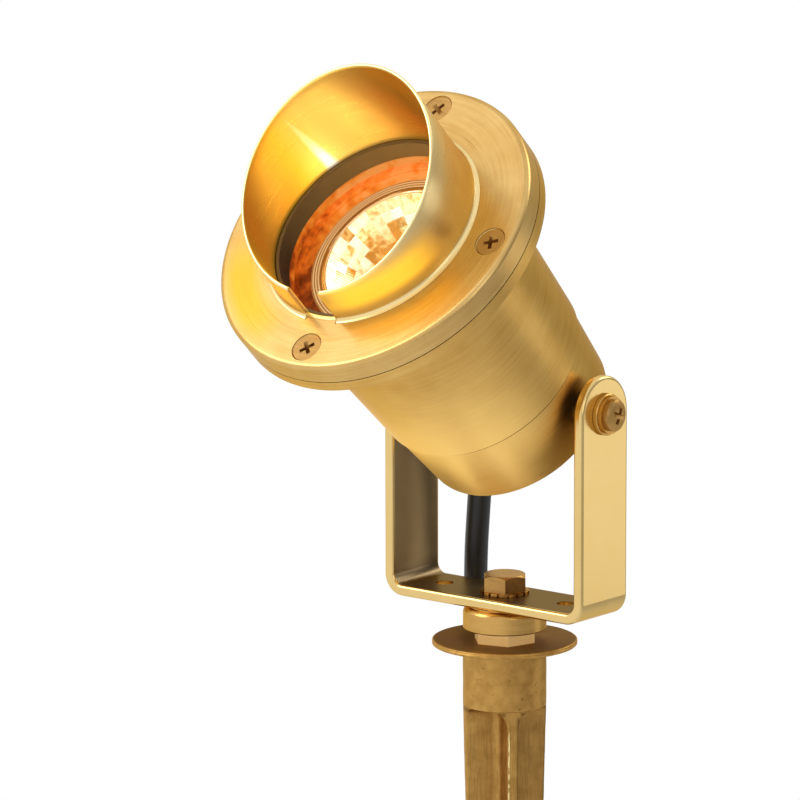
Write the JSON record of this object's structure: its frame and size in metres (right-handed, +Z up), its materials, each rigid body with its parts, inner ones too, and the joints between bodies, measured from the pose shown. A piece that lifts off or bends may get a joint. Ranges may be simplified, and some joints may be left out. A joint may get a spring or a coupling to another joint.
{
  "type": "garden spike spotlight",
  "caption": "Brass garden spotlight on a cruciform ground spike, with a slanted glare shroud and a tilting, swivelling yoke bracket.",
  "frame": {"origin": "centre of the underside of the spike's ground flange, the face that lies on the soil", "axes": "+Z up along the spike, +X along the tilting axis, the lamp aims towards -Y and up"},
  "size_m": [0.106, 0.1737, 0.4247],
  "materials": {
    "satin_brass": "satin turned brass",
    "polished_brass": "polished brass strip",
    "cast_brass": "as-cast brass",
    "turned_brass": "turned brass",
    "screw_brass": "darkened brass",
    "black_rubber": "matt",
    "clear_glass": "clear toughened glass",
    "quartz": "clear quartz",
    "mirror_glass": "facetted mirror coating on glass",
    "ceramic": "matt ceramic",
    "nickel_pin": "nickel plated",
    "amber_glass": "heat tinted glass",
    "lead_sleeve": "woven glass sleeve",
    "nylon": "matt",
    "cord_rubber": "matt black flex",
    "tie_plastic": "matt",
    "core_plastic": "matt",
    "copper": "bare copper"
  },
  "bodies": {
    "spike": {"ground_spike": "cast_brass", "lock_nut": "turned_brass", "lock_washer": "turned_brass", "swivel_bolt": "screw_brass"},
    "bracket": {"yoke_bracket": "polished_brass", "swivel_collar": "turned_brass", "cord_lead": "cord_rubber", "cord_hank": "cord_rubber", "hank_tie": "tie_plastic", "cord_cores": "core_plastic", "core_tips": "copper"},
    "head": {"front_housing": "satin_brass", "rear_cap": "satin_brass", "bezel_ring": "satin_brass", "glare_shroud": "satin_brass", "lens_glass": "clear_glass", "lens_seat": "black_rubber", "lens_sleeve": "black_rubber", "flange_seal": "black_rubber", "bezel_screws": "screw_brass", "cap_seal": "black_rubber", "lamp_reflector": "mirror_glass", "lamp_front_glass": "clear_glass", "lamp_capsule": "quartz", "lamp_base": "ceramic", "lamp_pins": "nickel_pin", "lamp_ring": "amber_glass", "lamp_holder": "ceramic", "holder_strip": "turned_brass", "strip_screws": "screw_brass", "lamp_leads": "lead_sleeve", "cable_gland": "turned_brass", "gland_nut": "turned_brass", "gland_rubber": "black_rubber", "pivot_bushes": "nylon", "pivot_washers": "turned_brass", "spring_washers": "turned_brass", "pivot_screws": "screw_brass"}
  },
  "joints": [
    {"name": "bracket_swivel", "type": "hinge", "parent": "spike", "child": "bracket", "pos_m": [0, 0, 0.0147], "axis": [0, 0, 1], "range_deg": [-170, 170]},
    {"name": "head_tilt", "type": "hinge", "parent": "bracket", "child": "head", "pos_m": [0, 0, 0.079], "axis": [1, 0, 0], "range_deg": [-46, 86], "deforming": ["cord_lead"]}
  ]
}
